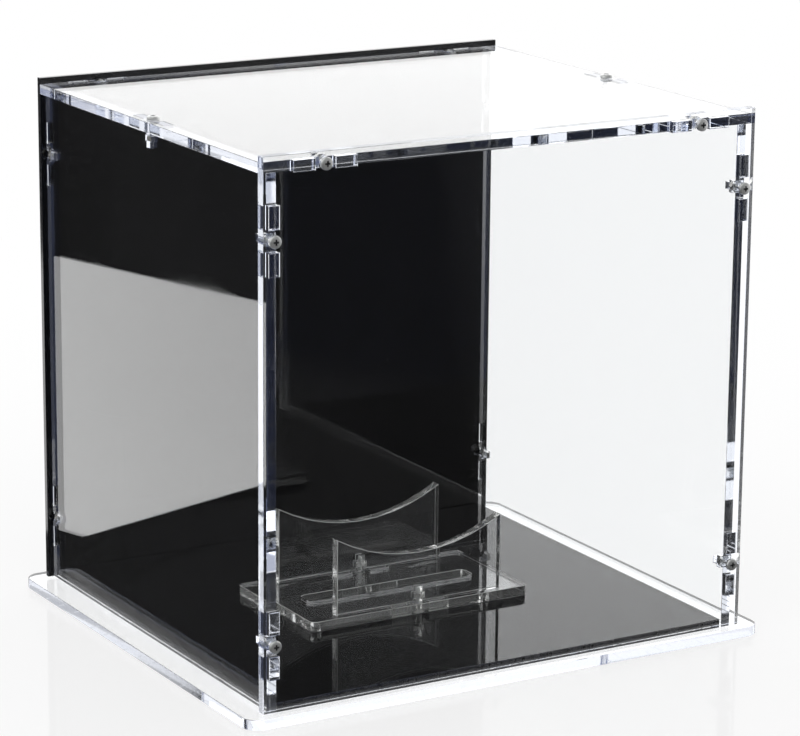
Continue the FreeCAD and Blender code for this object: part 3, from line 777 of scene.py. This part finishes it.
white = add_step(recipe, "ShaderNodeEmission", {"Color": backdrop.outputs["Result"], "Strength": 1.0})
lit = add_step(recipe, "ShaderNodeMapRange", {"Value": side.outputs["Value"], "From Min": 0.16, "From Max": 0.4,
                                              "To Min": FLOOR_DIM, "To Max": 0.9})
dim = add_step(recipe, "ShaderNodeEmission", {"Color": (1, 1, 1, 1), "Strength": lit.outputs[0]})
plain = add_step(recipe, "ShaderNodeMixShader", {0: white_share.outputs[0], 1: shader.outputs[0],
                                                 2: white.outputs[0]})
whole = add_step(recipe, "ShaderNodeMixShader", {0: mirrored, 1: plain.outputs[0], 2: dim.outputs[0]})
recipe.links.new(whole.outputs[0], recipe.nodes["Material Output"].inputs["Surface"])
shape.materials.append(floor_finish)


# Light
# A white room. Polished faces show it as a bright band round the horizon under a dimmer ceiling,
# with a soft box behind the case, a smaller one above it and a lit white sheet on the table behind.
ROOM_LIGHT = 0.75
BAND_LIGHT = 1.0
CEILING_LIGHT = 0.3
FRONT_SHARE = 0.25            # of that light from the dark front of the room
FRONT_DOWN_SHEETS = 0.7       # the same, looked at along the inside of a sheet

room = bpy.data.worlds.new("room")
bpy.context.scene.world = room
room.use_nodes = True
recipe = room.node_tree
towards = recipe.nodes.new("ShaderNodeTexCoord").outputs["Generated"]
split = add_step(recipe, "ShaderNodeSeparateXYZ", {"Vector": towards})
shown = add_ramp(recipe, split.outputs["Z"], [(0.0, FLOOR_DIM), (0.02, BAND_LIGHT), (0.62, BAND_LIGHT), (0.8, CEILING_LIGHT)])
by_camera, in_sheets, mirrored, inside = what_is_looked_at(recipe)
seen_plainly = add_step(recipe, "ShaderNodeMath", {0: by_camera, 1: in_sheets}, operation="MAXIMUM")
plain = add_step(recipe, "ShaderNodeMapRange", {"Value": seen_plainly.outputs[0], "To Min": ROOM_LIGHT,
                                                "To Max": 1.0})
whole = add_step(recipe, "ShaderNodeMix", {"Factor": mirrored, "A": plain.outputs[0], "B": shown})
front_share = add_step(recipe, "ShaderNodeMix", {"Factor": inside, "A": FRONT_SHARE, "B": FRONT_DOWN_SHEETS})
front = add_step(recipe, "ShaderNodeMapRange", {"Value": split.outputs["Y"], "From Min": -0.6, "From Max": -0.1,
                                                "To Min": front_share.outputs[0], "To Max": 1.0})
dimmed = add_step(recipe, "ShaderNodeMath", {0: front.outputs[0], 1: whole.outputs["Result"]}, operation="MULTIPLY")
strength = add_step(recipe, "ShaderNodeMix", {"Factor": in_sheets, "A": whole.outputs["Result"],
                                              "B": dimmed.outputs[0]})
background = recipe.nodes["Background"]
recipe.links.new(strength.outputs["Result"], background.inputs["Strength"])
background.inputs["Color"].default_value = (1, 1, 1, 1)


def add_soft_box(name, middle, facing, across, size, radiance):
    """A soft box as bright to look at as the radiance says, with its long side along across."""
    lamp = bpy.data.lights.new(name, "AREA")
    lamp.shape = "RECTANGLE"
    lamp.size, lamp.size_y = size
    lamp.energy = radiance * math.pi * size[0] * size[1]
    back = -Vector(facing).normalized()
    along = back.cross(Vector(across)).normalized()
    box = bpy.data.objects.new(name, lamp)
    box.matrix_world = (Matrix.Translation(middle)
                        @ Matrix((along.cross(back), along, back)).transposed().to_4x4())
    box.visible_camera = False
    bpy.context.scene.collection.objects.link(box)
    return box


add_soft_box("soft_box_behind", (0.9, 1.9, 0.75), (-0.9, -1.9, -0.65), (1.9, -0.9, 0), (2.6, 1.3), 0.65)
add_soft_box("soft_box_above", (-0.6, -0.5, 1.5), (0.6, 0.5, -1.4), (1, 0, 0), (0.9, 0.9), 1.0)
SHEET_SIZE = Vector((0.45, 1.4))
SHEET_TURN = math.radians(-17.5)
SHEET_CORNER = Vector((-0.602, 0.311))
sheet_across = Vector((math.cos(SHEET_TURN), math.sin(SHEET_TURN)))
sheet_along = Vector((-math.sin(SHEET_TURN), math.cos(SHEET_TURN)))
sheet_middle = SHEET_CORNER + sheet_across * SHEET_SIZE.x / 2 + sheet_along * SHEET_SIZE.y / 2
add_soft_box("lit_sheet_behind", (sheet_middle.x, sheet_middle.y, 0.002), (0, 0, 1),
             (sheet_across.x, sheet_across.y, 0), SHEET_SIZE, 1.9)


# Camera
# In front of the case to its left, looking slightly down, as the photograph was taken.
CAMERA_PLACE = Vector((-0.8128, -1.3884, 0.5377))
CAMERA_AZIMUTH = math.radians(-30.57)
CAMERA_DROP = math.radians(14.43)
CAMERA_ROLL = math.radians(0.51)

lens = bpy.data.cameras.new("camera")
lens.sensor_width = 36
lens.lens = 153.03
ahead = Vector((-math.sin(CAMERA_AZIMUTH) * math.cos(CAMERA_DROP), math.cos(CAMERA_AZIMUTH) * math.cos(CAMERA_DROP),
                -math.sin(CAMERA_DROP)))
level = Vector((math.cos(CAMERA_AZIMUTH), math.sin(CAMERA_AZIMUTH), 0))
upright = level.cross(ahead)
rolled_right = level * math.cos(CAMERA_ROLL) + upright * math.sin(CAMERA_ROLL)
rolled_up = upright * math.cos(CAMERA_ROLL) - level * math.sin(CAMERA_ROLL)
camera = bpy.data.objects.new("camera", lens)
camera.matrix_world = Matrix.Translation(CAMERA_PLACE) @ Matrix((rolled_right, rolled_up, -ahead)).transposed().to_4x4()
bpy.context.scene.collection.objects.link(camera)
bpy.context.scene.camera = camera

scene = bpy.context.scene
scene.view_settings.view_transform = "Standard"
scene.cycles.max_bounces = 64
scene.cycles.transmission_bounces = 32
scene.cycles.glossy_bounces = 64
